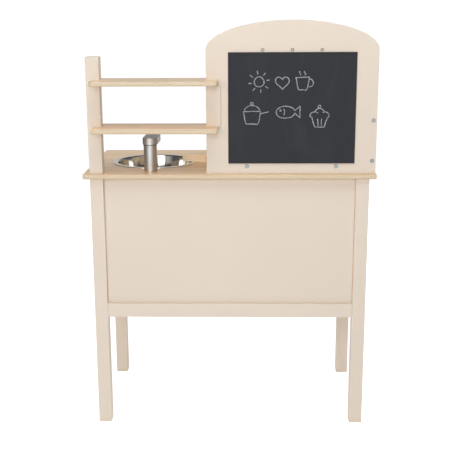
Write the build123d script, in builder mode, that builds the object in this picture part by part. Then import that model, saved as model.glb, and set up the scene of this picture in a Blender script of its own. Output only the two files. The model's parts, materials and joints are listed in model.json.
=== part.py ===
from build123d import *
import os

# Toy play kitchen with a chalkboard back, in millimetres, +Z up.
# The child stands at -Y and looks towards +Y, so the doors face -Y and the chalkboard faces +Y.
# Left and right are the child's: left is -X, right is +X. The origin is on the floor, at the
# centre of the whole outline. A pair of numbers is a low and a high coordinate.

# ---- worktop and legs
WORKTOP_X = (-300.0, 300.0)
WORKTOP_Y = (-178.0, 152.0)
WORKTOP_Z = 551.0
PLY = 10.0
UNDER_Z = WORKTOP_Z - PLY
LEG = 27.5
LEG_OUT = 286.5
LEG_IN = LEG_OUT - LEG
FRONT_LEG_Y = (-162.0, -162.0 + LEG)
REAR_LEG_Y = (144.0 - LEG, 144.0)
BAY_Y = (FRONT_LEG_Y[1], REAR_LEG_Y[0])

# ---- cabinet
RAIL_Z = (242.0, 271.5)
RAIL = 18.0
PANEL = 6.0
PANEL_RECESS = 8.0
SIDE_PANEL_X = (LEG_OUT - PANEL_RECESS - PANEL, LEG_OUT - PANEL_RECESS)
REAR_PANEL_Y = (REAR_LEG_Y[1] - PANEL_RECESS - PANEL, REAR_LEG_Y[1] - PANEL_RECESS)
FASCIA_Z = (489.0, UNDER_Z)
DOOR = 12.0
DOOR_Y = (FRONT_LEG_Y[0], FRONT_LEG_Y[0] + DOOR)
STILE_X = (20.0, 40.0)
STILE_Y = (FRONT_LEG_Y[0], FRONT_LEG_Y[0] + 20.0)
DIVIDER_X = (25.0, 35.0)
CLEAT = 10.0
OVEN_CLEAT_Z = (370.0, 380.0)
CUPBOARD_SHELF_Z = (371.0, 381.0)
WORKTOP_CLEAT_Z = (UNDER_Z - LEG, UNDER_Z)

# ---- doors, which turn on steel pins in the middle of their thickness
GAP = 2.0
DOOR_Z = (RAIL_Z[1] + GAP, FASCIA_Z[0] - GAP)
OVEN_X = (-LEG_IN + GAP, STILE_X[0] - GAP)
CUPBOARD_X = (STILE_X[1] + GAP, LEG_IN - GAP)
PIVOT_Y = (DOOR_Y[0] + DOOR_Y[1]) / 2
OVEN_PIVOT_Z = 290.0
CUPBOARD_PIVOT_X = CUPBOARD_X[1] - 7.0
PIN_R = 2.5
PIN_INTO_DOOR = 12.0
PIN_HOLE = PIN_INTO_DOOR + 1.0
PIN_INTO_FRAME = 10.0
RUNNING = 0.05
FIXED = 0.02
WINDOW = (190.0, 100.0)
WINDOW_CORNER = 12.0
WINDOW_Z = 378.0
REBATE = (208.0, 118.0, 5.0)
PANE = 2.0
PANE_GAP = 1.0
HANDLE = (180.0, 14.0, 18.0)
HANDLE_Z = 457.0
STANDOFF = 14.0
STANDOFF_R = 5.5
STANDOFF_SPACING = 140.0
DOOR_KNOB_X = 60.0
DOOR_KNOB_Z = 400.0
STOP = (12.0, 15.0, 19.0)
STRIKE = (12.0, 24.0, 0.8)
CATCH = (14.0, 26.0)
CATCH_GAP = 0.2
OVEN_CATCH_Z = 462.0

# ---- turning knobs in a row on the fascia, over the oven door
KNOBS = ["hob_knob_1", "hob_knob_2", "oven_knob_1", "oven_knob_2", "oven_knob_3"]
KNOB_SPACING = 50.0
KNOB_X = [(OVEN_X[0] + OVEN_X[1]) / 2 + step * KNOB_SPACING for step in (-2, -1, 0, 1, 2)]
FASCIA_KNOB_Z = 515.0
KNOB_R = 17.0
KNOB_H = 22.0
KNOB_SKIRT = (3.0, 4.0)
SPINDLE_R = 3.0
SPINDLE_OUT = 15.0
SPINDLE_IN = 8.0
KNOB_GAP = 1.0

# ---- chalkboard side
BOARD_X = (-297.5, 46.0)
BOARD_Y = (135.0, 145.0)
BOARD_SPRING_Z = 799.0
BOARD_TOP_Z = 857.5
CHALK_X = (-254.0, 1.6)
CHALK_Z = (573.1, 795.4)
CHALK = 3.0
CHEEK = 15.0
CHEEK_H = 136.0
CHEEK_CORNER = 90.0
CHEEK_FRONT_Y = -50.0
BATTEN_X = (-246.0, -6.0)
BATTEN = 27.5
PEG_X = [-184.5, -125.75, -67.0]
PEG_Z = 799.8
PEG_R = 5.0
PEG_LENGTH = 36.0
PEG_KNOB = (8.5, 8.0)
LOW_SCREW_X = [-217.0, -36.0]
LOW_SCREW_Z = 567.2
EDGE_SCREW_X = -289.8
EDGE_SCREW_Z = [578.0, 660.0]
SCREW_R = 2.0
PEG_SCREW_HEAD_R = 3.3
SCREW_HEAD_R = 3.9
SCREW_HEAD = 1.6

# ---- shelves
POST_X = (LEG_IN, LEG_OUT)
POST_Y = (BOARD_Y[1] - LEG, BOARD_Y[1])
POST_TOP_Z = 787.0
SHELF_X = (22.0, 274.4)
SHELF_Y = (90.0, 190.0)
SHELF = 9.3
LOWER_SHELF_Z = (648.0 - SHELF, 648.0)
UPPER_SHELF_Z = (741.5 - SHELF, 741.5)
SHELF_CORNER = 4.0
SPACER_X = (16.4, BOARD_X[1])
SPACER = 4.0
SPACER_CORNER = 8.0

# ---- sink, tap, hob
SINK_X = 166.0
SINK_Y = -14.0
SINK_R = 93.0
SINK_OPENING_R = 82.0
SINK_CUTOUT_R = 85.0
SINK_FLOOR_R = 74.0
SINK_DEPTH = 51.0
STEEL = 1.2
DRAIN_R = 14.0
DRAIN_FLANGE = (5.0, 1.0)
DRAIN_H = 6.0
DRAIN_HOLE_R = 1.8
TAP_X = 164.5
TAP_Y = 104.0
TAP_R = 13.8
TAP_H = 55.0
TAP_HEAD_R = 15.4
TAP_HEAD_H = 13.2
TAP_REACH = 52.0
TAP_TURN = -2.0
TAP_OUTLET_R = 6.0
TAP_PIN_R = 4.0
TAP_PIN_DOWN = 14.0
TAP_PIN_UP = 8.0
TAP_EASE = 0.3
JOINT_LINE = 0.8
SPLASH_RAIL_X = (BOARD_X[0] + CHEEK, 105.0)
SPLASH_RAIL_Y = (-17.0, -2.0)
SPLASH_RAIL_H = 17.5
RIM_GAP = 0.4
HOB_X = [-190.0, -60.0]
HOB_Y = -115.0
HOB_R = 50.0
HOB_H = 5.0
HOB_RING = (4.0, 3.0)
HOB_GROOVES = (14.0, 24.0, 34.0)


def save(piece, node):
    """Name a finished sub-part and write it as parts/node.step."""
    piece.part.label = node
    export_step(piece.part, f"parts/{node}.step")


def middle(pair):
    return (pair[0] + pair[1]) / 2


def span(pair):
    return pair[1] - pair[0]


def mirrored(pair):
    return (-pair[1], -pair[0])


def block(x, y, z):
    """Add a rectangular block between low and high coordinates to the open part."""
    with Locations((middle(x), middle(y), middle(z))):
        Box(span(x), span(y), span(z))


def facing_front(y):
    """A plane seen from the front: its x is +X, its y is +Z, and its normal is -Y."""
    return Plane(origin=(0, y, 0), x_dir=(1, 0, 0), z_dir=(0, -1, 0))


def facing_rear(y):
    """The same plane with its normal along +Y, so its x runs along -X."""
    return Plane(origin=(0, y, 0), x_dir=(-1, 0, 0), z_dir=(0, 1, 0))


def facing_right(x):
    """A plane whose normal is +X, whose x is +Y and whose y is +Z."""
    return Plane(origin=(x, 0, 0), x_dir=(0, 1, 0), z_dir=(1, 0, 0))


def board(node, x, y, z, ease=1.0):
    """A plain board with all its edges eased, in a node of its own."""
    with BuildPart() as piece:
        block(x, y, z)
        fillet(piece.edges(), ease)
    save(piece, node)


# ---- frame and cabinet


def make_leg(node, side, y, oven_pin=False):
    """A square leg. The front left one is drilled for the oven door's pin."""
    x = (LEG_IN, LEG_OUT) if side > 0 else mirrored((LEG_IN, LEG_OUT))
    with BuildPart() as leg:
        block(x, y, (0, UNDER_Z))
        fillet(leg.edges(), 1.5)
        if oven_pin:
            with BuildSketch(facing_right(x[1] - PIN_INTO_FRAME)):
                with Locations((PIVOT_Y, OVEN_PIVOT_Z)):
                    Circle(PIN_R + FIXED)
            extrude(amount=PIN_INTO_FRAME, mode=Mode.SUBTRACT)
    save(leg, node)


def make_worktop():
    """The worktop, with a round cut-out for the sink."""
    with BuildPart() as worktop:
        block(WORKTOP_X, WORKTOP_Y, (UNDER_Z, WORKTOP_Z))
        fillet(worktop.edges().filter_by(Axis.Z), 4.0)
        fillet(worktop.edges().group_by(Axis.Z)[-1] + worktop.edges().group_by(Axis.Z)[0], 1.5)
        with BuildSketch(Plane.XY.offset(UNDER_Z)):
            with Locations((SINK_X, SINK_Y)):
                Circle(SINK_CUTOUT_R)
        extrude(amount=PLY, mode=Mode.SUBTRACT)
    save(worktop, "worktop")


def make_front_bottom_rail():
    """The rail under the doors, with a blind hole for the cupboard door's lower pin."""
    with BuildPart() as rail:
        block((-LEG_IN, LEG_IN), (FRONT_LEG_Y[0], FRONT_LEG_Y[0] + RAIL), RAIL_Z)
        fillet(rail.edges(), 1.0)
        with BuildSketch(Plane.XY.offset(RAIL_Z[1] - PIN_INTO_FRAME)):
            with Locations((CUPBOARD_PIVOT_X, PIVOT_Y)):
                Circle(PIN_R + FIXED)
        extrude(amount=PIN_INTO_FRAME, mode=Mode.SUBTRACT)
    save(rail, "front_bottom_rail")


def make_front_fascia():
    """The board over the doors, drilled for the knob spindles and the cupboard's upper pin."""
    with BuildPart() as fascia:
        block((-LEG_IN, LEG_IN), DOOR_Y, FASCIA_Z)
        fillet(fascia.edges(), 1.0)
        with BuildSketch(facing_front(DOOR_Y[1])):
            with Locations([(x, FASCIA_KNOB_Z) for x in KNOB_X]):
                Circle(SPINDLE_R + FIXED)
        extrude(amount=DOOR, mode=Mode.SUBTRACT)
        with BuildSketch(Plane.XY.offset(FASCIA_Z[0])):
            with Locations((CUPBOARD_PIVOT_X, PIVOT_Y)):
                Circle(PIN_R + FIXED)
        extrude(amount=PIN_INTO_FRAME, mode=Mode.SUBTRACT)
    save(fascia, "front_fascia")


def make_front_stile():
    """The upright between the doors, with a blind hole for the oven door's right pin."""
    with BuildPart() as stile:
        block(STILE_X, STILE_Y, (RAIL_Z[1], FASCIA_Z[0]))
        fillet(stile.edges(), 1.0)
        with BuildSketch(facing_right(STILE_X[0])):
            with Locations((PIVOT_Y, OVEN_PIVOT_Z)):
                Circle(PIN_R + FIXED)
        extrude(amount=PIN_INTO_FRAME, mode=Mode.SUBTRACT)
    save(stile, "front_stile")


def make_base_board():
    """The cabinet's floor, between the rails and notched round the four legs."""
    edge_x = LEG_OUT - RAIL
    front_y = FRONT_LEG_Y[0] + RAIL
    rear_y = REAR_LEG_Y[1] - RAIL
    with BuildPart() as base:
        block((-edge_x, edge_x), (front_y, rear_y), (RAIL_Z[1] - PLY, RAIL_Z[1]))
        with BuildSketch(Plane.XY.offset(RAIL_Z[1] - PLY)):
            for notch_y in ((front_y, BAY_Y[0]), (BAY_Y[1], rear_y)):
                for notch_x in ((LEG_IN, edge_x), mirrored((LEG_IN, edge_x))):
                    with Locations((middle(notch_x), middle(notch_y))):
                        Rectangle(span(notch_x), span(notch_y))
        extrude(amount=PLY, mode=Mode.SUBTRACT)
    save(base, "base_board")


def make_cleats():
    """Glued battens: two carry the oven rack, two the cupboard shelf, two hold the worktop."""
    side_x = SIDE_PANEL_X[0]
    with BuildPart() as oven_cleats:
        block((-side_x, -side_x + 2 * CLEAT), BAY_Y, OVEN_CLEAT_Z)
        block((DIVIDER_X[0] - CLEAT, DIVIDER_X[0]), BAY_Y, OVEN_CLEAT_Z)
        fillet(oven_cleats.edges(), 0.8)
    save(oven_cleats, "oven_cleats")
    low = (CUPBOARD_SHELF_Z[0] - CLEAT, CUPBOARD_SHELF_Z[0])
    with BuildPart() as shelf_cleats:
        block((DIVIDER_X[1], DIVIDER_X[1] + CLEAT), BAY_Y, low)
        block((side_x - CLEAT, side_x), BAY_Y, low)
        fillet(shelf_cleats.edges(), 0.8)
    save(shelf_cleats, "shelf_cleats")
    with BuildPart() as worktop_cleats:
        block((side_x - RAIL, side_x), BAY_Y, WORKTOP_CLEAT_Z)
        block((-side_x, -side_x + RAIL), BAY_Y, WORKTOP_CLEAT_Z)
        fillet(worktop_cleats.edges(), 1.0)
    save(worktop_cleats, "worktop_cleats")


def make_oven_rack():
    """A welded wire rack that rests on the oven cleats."""
    long_r = 2.0
    cross_r = 1.5
    x = (-268.0, 21.0)
    y = (-122.0, 106.0)
    long_z = OVEN_CLEAT_Z[1] + long_r
    weld = 0.6
    cross_z = long_z + long_r + cross_r - weld
    cross_count = 13
    edge_wire = 6.0
    with BuildPart() as rack:
        with BuildSketch(facing_right(x[0])):
            with Locations([(wire, long_z) for wire in (y[0] + edge_wire, 0, y[1] - edge_wire)]):
                Circle(long_r)
        extrude(amount=span(x))
        with BuildSketch(facing_front(y[1])):
            with Locations((middle(x), cross_z)):
                with GridLocations(span(x) / (cross_count + 1), 1, cross_count, 1):
                    Circle(cross_r)
        extrude(amount=span(y))
    save(rack, "oven_rack")


def make_frame():
    make_leg("front_leg_left", -1, FRONT_LEG_Y, oven_pin=True)
    make_leg("front_leg_right", 1, FRONT_LEG_Y)
    make_leg("rear_leg_left", -1, REAR_LEG_Y)
    make_leg("rear_leg_right", 1, REAR_LEG_Y)
    make_worktop()
    make_front_bottom_rail()
    board("rear_bottom_rail", (-LEG_IN, LEG_IN), (REAR_LEG_Y[1] - RAIL, REAR_LEG_Y[1]), RAIL_Z)
    side_rail = (LEG_OUT - RAIL, LEG_OUT)
    board("side_rail_left", mirrored(side_rail), BAY_Y, RAIL_Z)
    board("side_rail_right", side_rail, BAY_Y, RAIL_Z)
    wall_z = (RAIL_Z[1], UNDER_Z)
    board("side_panel_left", mirrored(SIDE_PANEL_X), BAY_Y, wall_z, 0.5)
    board("side_panel_right", SIDE_PANEL_X, BAY_Y, wall_z, 0.5)
    board("rear_panel", (-LEG_IN, LEG_IN), REAR_PANEL_Y, wall_z, 0.5)
    board("divider", DIVIDER_X, (STILE_Y[1], REAR_PANEL_Y[0]), wall_z, 0.5)
    shelf_x = (DIVIDER_X[1], SIDE_PANEL_X[0])
    board("cupboard_shelf", shelf_x, BAY_Y, CUPBOARD_SHELF_Z, 0.8)
    make_front_fascia()
    make_front_stile()
    make_base_board()
    make_cleats()
    make_oven_rack()


# ---- oven door


def make_oven_door():
    """The drop-down door: a window with a rebate behind it, and a pin hole in each end."""
    with BuildPart() as door:
        block(OVEN_X, DOOR_Y, DOOR_Z)
        fillet(door.edges(), 1.5)
        with BuildSketch(facing_front(DOOR_Y[1])):
            with Locations((middle(OVEN_X), WINDOW_Z)):
                RectangleRounded(WINDOW[0], WINDOW[1], WINDOW_CORNER)
        extrude(amount=DOOR, mode=Mode.SUBTRACT)
        with BuildSketch(facing_front(DOOR_Y[1])):
            with Locations((middle(OVEN_X), WINDOW_Z)):
                Rectangle(REBATE[0], REBATE[1])
        extrude(amount=REBATE[2], mode=Mode.SUBTRACT)
        for end_x in (OVEN_X[0], OVEN_X[1] - PIN_HOLE):
            with BuildSketch(facing_right(end_x)):
                with Locations((PIVOT_Y, OVEN_PIVOT_Z)):
                    Circle(PIN_R + RUNNING)
            extrude(amount=PIN_HOLE, mode=Mode.SUBTRACT)
    save(door, "oven_door")


def make_oven_window():
    """The clear pane in the rebate, and the thin frame that holds it from inside."""
    pane_size = (REBATE[0] - 2 * PANE_GAP, REBATE[1] - 2 * PANE_GAP)
    pane_corner = 1.0
    pane_y = DOOR_Y[1] - REBATE[2]
    with BuildPart() as pane:
        with BuildSketch(facing_front(pane_y + PANE)):
            with Locations((middle(OVEN_X), WINDOW_Z)):
                RectangleRounded(pane_size[0], pane_size[1], pane_corner)
        extrude(amount=PANE)
    save(pane, "oven_window")
    with BuildPart() as bead:
        with BuildSketch(facing_front(DOOR_Y[1])):
            with Locations((middle(OVEN_X), WINDOW_Z)):
                RectangleRounded(pane_size[0], pane_size[1], pane_corner)
                RectangleRounded(WINDOW[0], WINDOW[1], WINDOW_CORNER, mode=Mode.SUBTRACT)
        extrude(amount=REBATE[2] - PANE)
    save(bead, "window_bead")


def make_oven_handle():
    """A pine bar on two round stand-offs, which run into the bar."""
    overlap = 2.0
    bar_y = (DOOR_Y[0] - STANDOFF - HANDLE[1], DOOR_Y[0] - STANDOFF)
    bar_x = (middle(OVEN_X) - HANDLE[0] / 2, middle(OVEN_X) + HANDLE[0] / 2)
    bar_z = (HANDLE_Z - HANDLE[2] / 2, HANDLE_Z + HANDLE[2] / 2)
    with BuildPart() as handle:
        block(bar_x, bar_y, bar_z)
        fillet(handle.edges(), 4.0)
        with BuildSketch(facing_front(DOOR_Y[0])):
            with Locations((middle(OVEN_X), HANDLE_Z)):
                with GridLocations(STANDOFF_SPACING, 1, 2, 1):
                    Circle(STANDOFF_R)
        extrude(amount=STANDOFF + overlap)
    save(handle, "oven_handle")


def make_pivot_pins():
    """The steel pins that the two doors turn on, driven into the frame."""
    length = PIN_INTO_FRAME + GAP + PIN_INTO_DOOR
    with BuildPart() as oven_pins:
        for low_x in (OVEN_X[0] - GAP - PIN_INTO_FRAME, OVEN_X[1] - PIN_INTO_DOOR):
            with BuildSketch(facing_right(low_x)):
                with Locations((PIVOT_Y, OVEN_PIVOT_Z)):
                    Circle(PIN_R)
            extrude(amount=length)
    save(oven_pins, "oven_pivot_pins")
    with BuildPart() as cupboard_pins:
        for low_z in (RAIL_Z[1] - PIN_INTO_FRAME, DOOR_Z[1] - PIN_INTO_DOOR):
            with BuildSketch(Plane.XY.offset(low_z)):
                with Locations((CUPBOARD_PIVOT_X, PIVOT_Y)):
                    Circle(PIN_R)
            extrude(amount=length)
    save(cupboard_pins, "cupboard_pivot_pins")


def make_door_stops():
    """Two blocks over the oven door's lower edge, which stop it when it lies level."""
    low_z = OVEN_PIVOT_Z + DOOR / 2 + 0.3
    low_y = DOOR_Y[1] + 0.5
    y = (low_y, low_y + STOP[1])
    z = (low_z, low_z + STOP[2])
    with BuildPart() as stops:
        block((-LEG_IN, -LEG_IN + STOP[0]), y, z)
        block((STILE_X[0] - STOP[0], STILE_X[0]), y, z)
        fillet(stops.edges(), 0.8)
    save(stops, "door_stops")


def make_catch(node, x, z_mid):
    """A catch block glued to the stile. Its magnet ends just short of the door's strike plate."""
    magnet_r = 4.5
    magnet_h = 1.0
    block_y = (DOOR_Y[1] + STRIKE[2] + CATCH_GAP + magnet_h, STILE_Y[1] + 8.0)
    with BuildPart() as catch:
        block(x, block_y, (z_mid - CATCH[1] / 2, z_mid + CATCH[1] / 2))
        fillet(catch.edges(), 1.0)
        with BuildSketch(facing_front(block_y[0])):
            with Locations((middle(x), z_mid)):
                Circle(magnet_r)
        extrude(amount=magnet_h)
    save(catch, node)


def make_strike(node, x, z_mid):
    """The thin steel plate on the inside of a door, which the magnet holds."""
    corner = 3.0
    with BuildPart() as strike:
        with BuildSketch(facing_rear(DOOR_Y[1])):
            with Locations((-x, z_mid)):
                RectangleRounded(STRIKE[0], STRIKE[1], corner)
        extrude(amount=STRIKE[2])
    save(strike, node)


# ---- cupboard door


def make_cupboard_door():
    """The side-hung door. Its hinge edge is round, so it clears the leg as it turns."""
    with BuildPart() as door:
        block(CUPBOARD_X, DOOR_Y, DOOR_Z)
        fillet(door.edges().filter_by(Axis.Z).group_by(Axis.X)[-1], DOOR / 2 - 0.1)
        fillet(door.edges().filter_by(Axis.Z).group_by(Axis.X)[0], 1.5)
        for low_z in (DOOR_Z[0], DOOR_Z[1] - PIN_HOLE):
            with BuildSketch(Plane.XY.offset(low_z)):
                with Locations((CUPBOARD_PIVOT_X, PIVOT_Y)):
                    Circle(PIN_R + RUNNING)
            extrude(amount=PIN_HOLE, mode=Mode.SUBTRACT)
    save(door, "cupboard_door")


def make_cupboard_knob():
    """A turned pine knob: a waisted stem under a domed head."""
    plane = Plane(origin=(DOOR_KNOB_X, DOOR_Y[0], DOOR_KNOB_Z), x_dir=(1, 0, 0), z_dir=(0, 0, 1))
    with BuildPart() as knob:
        with BuildSketch(plane):
            with BuildLine():
                Line((0, 0), (9, 0))
                ThreePointArc((9, 0), (6.5, -6), (9.5, -12))
                ThreePointArc((9.5, -12), (14.0, -17), (10.5, -22.5))
                RadiusArc((10.5, -22.5), (0, -26), 17.5)
                Line((0, -26), (0, 0))
            make_face()
        revolve(axis=Axis((DOOR_KNOB_X, 0, DOOR_KNOB_Z), (0, 1, 0)))
    save(knob, "cupboard_knob")


def make_doors():
    make_oven_door()
    make_oven_window()
    make_oven_handle()
    make_cupboard_door()
    make_cupboard_knob()
    make_pivot_pins()
    make_door_stops()
    oven_x = (STILE_X[0] - CATCH[0], STILE_X[0])
    cupboard_x = (STILE_X[1], STILE_X[1] + CATCH[0])
    make_catch("oven_catch", oven_x, OVEN_CATCH_Z)
    make_catch("cupboard_catch", cupboard_x, DOOR_KNOB_Z)
    make_strike("oven_strike", middle(oven_x) - 1, OVEN_CATCH_Z)
    make_strike("cupboard_strike", middle(cupboard_x) + 1, DOOR_KNOB_Z)


# ---- knobs that turn


def make_turn_knob(node, seat):
    """A turned knob with a blind bore. seat lies on the surface and faces outwards.

    A skirt carries a slightly tapered grip, and a groove in the grip's top is the pointer.
    """
    skirt, skirt_h = KNOB_SKIRT
    grip_low = KNOB_GAP + skirt_h - 1.0
    grip_high = KNOB_GAP + KNOB_H - 1.0
    pointer = (11.0, 2.2, 1.2)
    with BuildPart() as knob:
        with BuildSketch(seat.offset(KNOB_GAP)):
            Circle(KNOB_R)
        extrude(amount=skirt_h)
        fillet(knob.edges().filter_by(GeomType.CIRCLE), 1.2)
        with BuildSketch(seat.offset(grip_low)):
            Circle(KNOB_R - skirt)
        extrude(amount=grip_high - grip_low, taper=4)
        top = knob.faces().sort_by(Axis(seat.origin, seat.z_dir))[-1]
        fillet(top.edges(), 2.5)
        with BuildSketch(seat.offset(grip_high)):
            with Locations((0, pointer[0] / 2 + 0.5)):
                SlotOverall(pointer[0], pointer[1], rotation=90)
        extrude(amount=-pointer[2], mode=Mode.SUBTRACT)
        with BuildSketch(seat.offset(KNOB_GAP)):
            Circle(SPINDLE_R + RUNNING)
        extrude(amount=SPINDLE_OUT, mode=Mode.SUBTRACT)
    save(knob, node)


def make_knobs():
    for node, x in zip(KNOBS, KNOB_X):
        seat = Plane(origin=(x, DOOR_Y[0], FASCIA_KNOB_Z), x_dir=(1, 0, 0), z_dir=(0, -1, 0))
        make_turn_knob(node, seat)
    with BuildPart() as spindles:
        with BuildSketch(facing_front(DOOR_Y[0] + SPINDLE_IN)):
            with Locations([(x, FASCIA_KNOB_Z) for x in KNOB_X]):
                Circle(SPINDLE_R)
        extrude(amount=SPINDLE_IN + SPINDLE_OUT)
    save(spindles, "knob_spindles")


# ---- chalkboard side


def arch_screw_points():
    """Where the rear screws go: three for the pegs, two for the batten, two for the cheek."""
    pegs = [(x, PEG_Z) for x in PEG_X]
    low = [(x, LOW_SCREW_Z) for x in LOW_SCREW_X]
    edge = [(EDGE_SCREW_X, z) for z in EDGE_SCREW_Z]
    return pegs, low + edge


def make_arch_board():
    """The tall board on the worktop. Its top is half an ellipse."""
    half = span(BOARD_X) / 2
    mid_x = middle(BOARD_X)
    pegs, others = arch_screw_points()
    with BuildPart() as arch:
        with BuildSketch(facing_front(BOARD_Y[1])):
            with BuildLine():
                Polyline(
                    (BOARD_X[1], BOARD_SPRING_Z),
                    (BOARD_X[1], WORKTOP_Z),
                    (BOARD_X[0], WORKTOP_Z),
                    (BOARD_X[0], BOARD_SPRING_Z),
                )
                rise = BOARD_TOP_Z - BOARD_SPRING_Z
                EllipticalCenterArc((mid_x, BOARD_SPRING_Z), half, rise, arc_size=180)
            make_face()
        extrude(amount=span(BOARD_Y))
        fillet(arch.edges().group_by(Axis.Y)[0] + arch.edges().group_by(Axis.Y)[-1], 1.2)
        with BuildSketch(facing_rear(BOARD_Y[0])):
            with Locations([(-x, z) for x, z in pegs + others]):
                Circle(SCREW_R)
        extrude(amount=span(BOARD_Y), mode=Mode.SUBTRACT)
    save(arch, "arch_board")


def make_arch_screws():
    """Round-headed screws with a cross recess, on the rear of the arch board."""
    pegs, others = arch_screw_points()
    shank_y = BOARD_Y[0] + 1.0
    recess = (4.2, 0.9, 0.9)
    with BuildPart() as screws:
        for places, head_r in ((pegs, PEG_SCREW_HEAD_R), (others, SCREW_HEAD_R)):
            with BuildSketch(facing_rear(BOARD_Y[1])):
                with Locations([(-x, z) for x, z in places]):
                    Circle(head_r)
            extrude(amount=SCREW_HEAD)
        fillet(screws.edges().filter_by(GeomType.CIRCLE).group_by(Axis.Y)[-1], SCREW_HEAD - 0.3)
        with BuildSketch(facing_rear(BOARD_Y[1] + SCREW_HEAD)):
            with Locations([(-x, z) for x, z in pegs + others]):
                Rectangle(recess[0], recess[1])
                Rectangle(recess[1], recess[0])
        extrude(amount=-recess[2], mode=Mode.SUBTRACT)
        with BuildSketch(facing_rear(shank_y)):
            with Locations([(-x, z) for x, z in pegs + others]):
                Circle(SCREW_R - FIXED)
        extrude(amount=BOARD_Y[1] - shank_y)
    save(screws, "arch_screws")


def make_side_cheek():
    """The splash cheek at the end of the worktop, with a quarter-round front corner."""
    x = (BOARD_X[0], BOARD_X[0] + CHEEK)
    y = (CHEEK_FRONT_Y, BOARD_Y[0])
    with BuildPart() as cheek:
        block(x, y, (WORKTOP_Z, WORKTOP_Z + CHEEK_H))
        corner = cheek.edges().filter_by(Axis.X).group_by(Axis.Z)[-1].sort_by(Axis.Y)[0]
        fillet(corner, CHEEK_CORNER)
        fillet(cheek.faces().group_by(Axis.X)[0].edges(), 1.2)
        fillet(cheek.faces().group_by(Axis.X)[-1].edges(), 1.2)
    save(cheek, "side_cheek")


def make_utensil_pegs():
    """Three turned pegs with rounded ends, on the child's side of the arch board."""
    end_r, end_h = PEG_KNOB
    with BuildPart() as pegs:
        with BuildSketch(facing_front(BOARD_Y[0])):
            with Locations([(x, PEG_Z) for x in PEG_X]):
                Circle(PEG_R)
        extrude(amount=PEG_LENGTH - 1.0)
        with BuildSketch(facing_front(BOARD_Y[0] - PEG_LENGTH + end_h)):
            with Locations([(x, PEG_Z) for x in PEG_X]):
                Circle(end_r)
        extrude(amount=end_h)
        fillet(pegs.faces().filter_by(Axis.Y).group_by(Axis.Y)[0].edges(), end_h / 2 - 0.1)
    save(pegs, "utensil_pegs")


def make_chalkboard_side():
    make_arch_board()
    make_arch_screws()
    board("chalkboard", CHALK_X, (BOARD_Y[1], BOARD_Y[1] + CHALK), CHALK_Z, 0.6)
    batten_y = (BOARD_Y[0] - BATTEN, BOARD_Y[0])
    board("arch_batten", BATTEN_X, batten_y, (WORKTOP_Z, WORKTOP_Z + BATTEN), 1.5)
    make_side_cheek()
    make_utensil_pegs()


# ---- shelves


def make_shelf(node, z):
    """A shelf that forks round the post at one end and round the arch board at the other."""
    with BuildPart() as shelf:
        block(SHELF_X, SHELF_Y, z)
        fillet(shelf.edges().filter_by(Axis.Z), SHELF_CORNER)
        fillet(shelf.edges().group_by(Axis.Z)[0] + shelf.edges().group_by(Axis.Z)[-1], 1.0)
        with BuildSketch(Plane.XY.offset(z[0])):
            with Locations((middle((POST_X[0], SHELF_X[1])), middle(POST_Y))):
                Rectangle(SHELF_X[1] - POST_X[0], LEG)
            with Locations((middle((SHELF_X[0], BOARD_X[1])), middle(BOARD_Y))):
                Rectangle(BOARD_X[1] - SHELF_X[0], span(BOARD_Y))
        extrude(amount=span(z), mode=Mode.SUBTRACT)
    save(shelf, node)


def make_shelf_spacer():
    """The cleat between the shelves, glued on the arch board, with one corner rounded."""
    with BuildPart() as spacer:
        block(SPACER_X, (BOARD_Y[1], BOARD_Y[1] + SPACER), (LOWER_SHELF_Z[1], UPPER_SHELF_Z[0]))
        corner = spacer.edges().filter_by(Axis.Y).group_by(Axis.Z)[-1].sort_by(Axis.X)[0]
        fillet(corner, SPACER_CORNER)
        fillet(spacer.faces().sort_by(Axis.Y)[-1].edges(), 1.0)
    save(spacer, "shelf_spacer")


def make_shelves():
    board("shelf_post", POST_X, POST_Y, (WORKTOP_Z, POST_TOP_Z), 1.5)
    make_shelf("lower_shelf", LOWER_SHELF_Z)
    make_shelf("upper_shelf", UPPER_SHELF_Z)
    make_shelf_spacer()


# ---- sink, tap, hob


def make_sink_bowl():
    """A spun steel bowl that hangs from its flat rim, open at the drain."""
    plane = Plane(origin=(SINK_X, SINK_Y, WORKTOP_Z), x_dir=(1, 0, 0), z_dir=(0, -1, 0))
    profile = [
        (SINK_R, STEEL),
        (SINK_OPENING_R, STEEL),
        (SINK_FLOOR_R, -SINK_DEPTH + 1),
        (DRAIN_R, -SINK_DEPTH),
    ]
    with BuildPart() as bowl:
        with BuildSketch(plane):
            with BuildLine():
                FilletPolyline(*profile, radius=(3.0, 20.0))
                offset(amount=STEEL, side=Side.LEFT)
            make_face()
        revolve(axis=Axis((SINK_X, SINK_Y, 0), (0, 0, 1)))
    save(bowl, "sink_bowl")


def make_sink_drain():
    """The strainer in the bottom of the bowl."""
    flange_z = WORKTOP_Z - SINK_DEPTH + 0.3
    hole_ring_r = 8.0
    with BuildPart() as drain:
        with BuildSketch(Plane.XY.offset(flange_z)):
            with Locations((SINK_X, SINK_Y)):
                Circle(DRAIN_R + DRAIN_FLANGE[0])
        extrude(amount=DRAIN_FLANGE[1])
        fillet(drain.edges().filter_by(GeomType.CIRCLE).group_by(Axis.Z)[-1], 0.7)
        with BuildSketch(Plane.XY.offset(flange_z - DRAIN_H)):
            with Locations((SINK_X, SINK_Y)):
                Circle(DRAIN_R - 0.3)
        extrude(amount=DRAIN_H)
        with BuildSketch(Plane.XY.offset(flange_z - DRAIN_H)):
            with Locations((SINK_X, SINK_Y)):
                Circle(DRAIN_HOLE_R)
                with PolarLocations(hole_ring_r, 6):
                    Circle(DRAIN_HOLE_R)
        extrude(amount=DRAIN_H + DRAIN_FLANGE[1], mode=Mode.SUBTRACT)
    save(drain, "sink_drain")


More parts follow.
